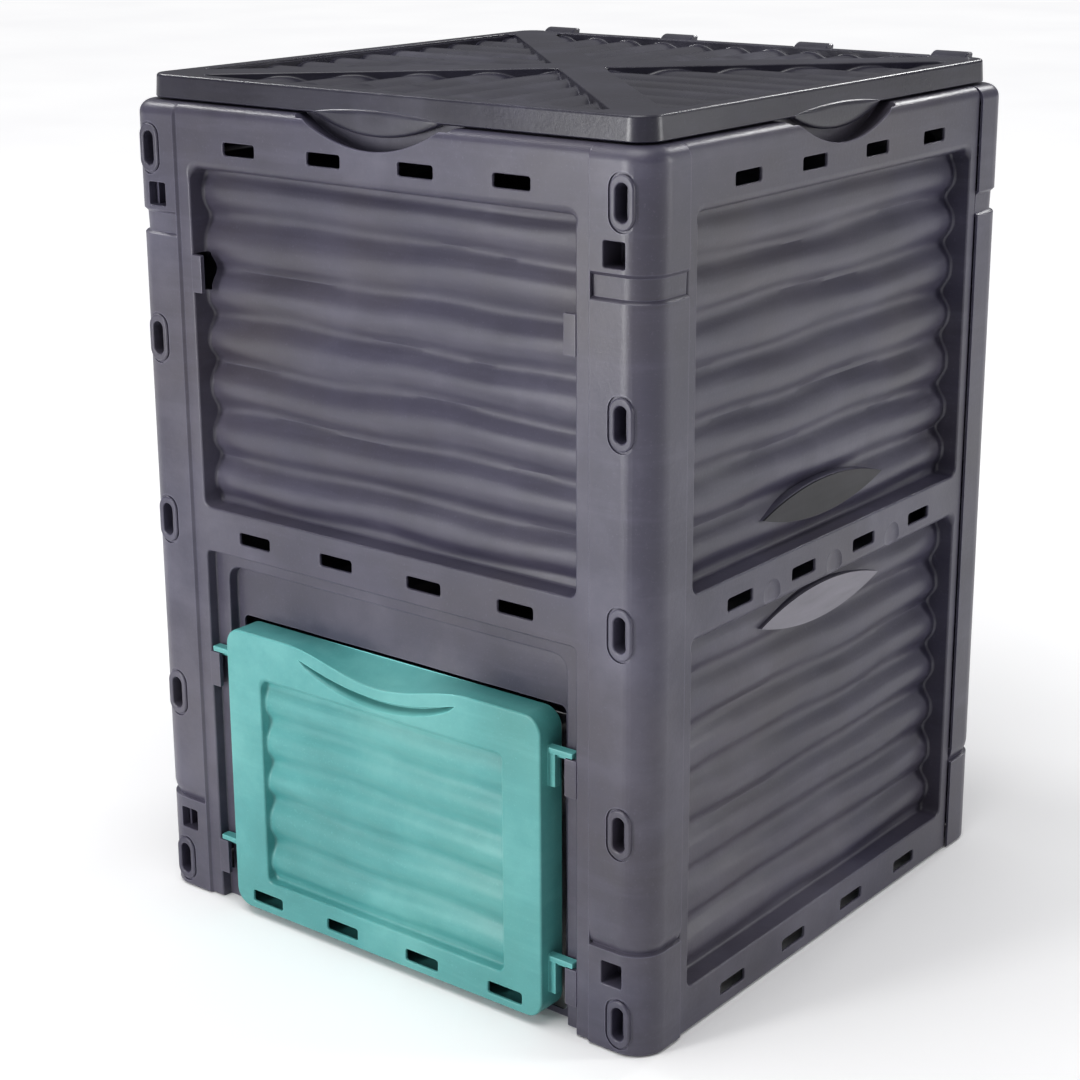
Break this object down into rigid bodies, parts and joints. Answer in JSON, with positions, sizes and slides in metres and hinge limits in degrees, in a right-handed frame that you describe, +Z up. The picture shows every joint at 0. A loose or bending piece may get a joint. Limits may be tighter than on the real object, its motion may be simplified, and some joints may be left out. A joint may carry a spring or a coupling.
{
  "type": "compost bin",
  "caption": "Square snap-together garden compost bin with corrugated walls, vent slots, a rear-hinged lid and a hook-on hatch door.",
  "frame": {"origin": "on the ground at the middle of the bin's footprint", "axes": "+Z up, -Y out of the front with the hatch door, +X to the right seen from the front"},
  "size_m": [0.61, 0.617, 0.83],
  "materials": {
    "panel_plastic": "satin moulded polypropylene, dark grey with a faint violet cast",
    "lid_plastic": "satin moulded polypropylene, dark grey, slightly duller than the walls",
    "door_plastic": "satin moulded polypropylene, sea green",
    "pin_plastic": "satin moulded plastic, dark grey",
    "badge_dark": "glossy dark plate, blank",
    "badge_light": "satin grey plate, blank"
  },
  "bodies": {
    "bin": {"front_panel": "panel_plastic", "back_panel": "panel_plastic", "left_panel": "panel_plastic", "right_panel": "panel_plastic", "badge_left_upper": "badge_dark", "badge_left_lower": "badge_light", "badge_right_upper": "badge_dark", "badge_right_lower": "badge_light", "hinge_pin_1": "pin_plastic", "hinge_pin_2": "pin_plastic", "hinge_pin_3": "pin_plastic", "hinge_pin_4": "pin_plastic"},
    "lid": {"lid": "lid_plastic"},
    "hatch_door": {"hatch_door": "door_plastic"}
  },
  "joints": [
    {"name": "lid_hinge", "type": "hinge", "parent": "bin", "child": "lid", "pos_m": [0, 0.296, 0.818], "axis": [-1, 0, 0], "range_deg": [0, 105]},
    {"name": "hatch_lift", "type": "slide", "parent": "bin", "child": "hatch_door", "axis": [0, -0.342, 0.9397], "range_m": [0, 0.42]}
  ]
}
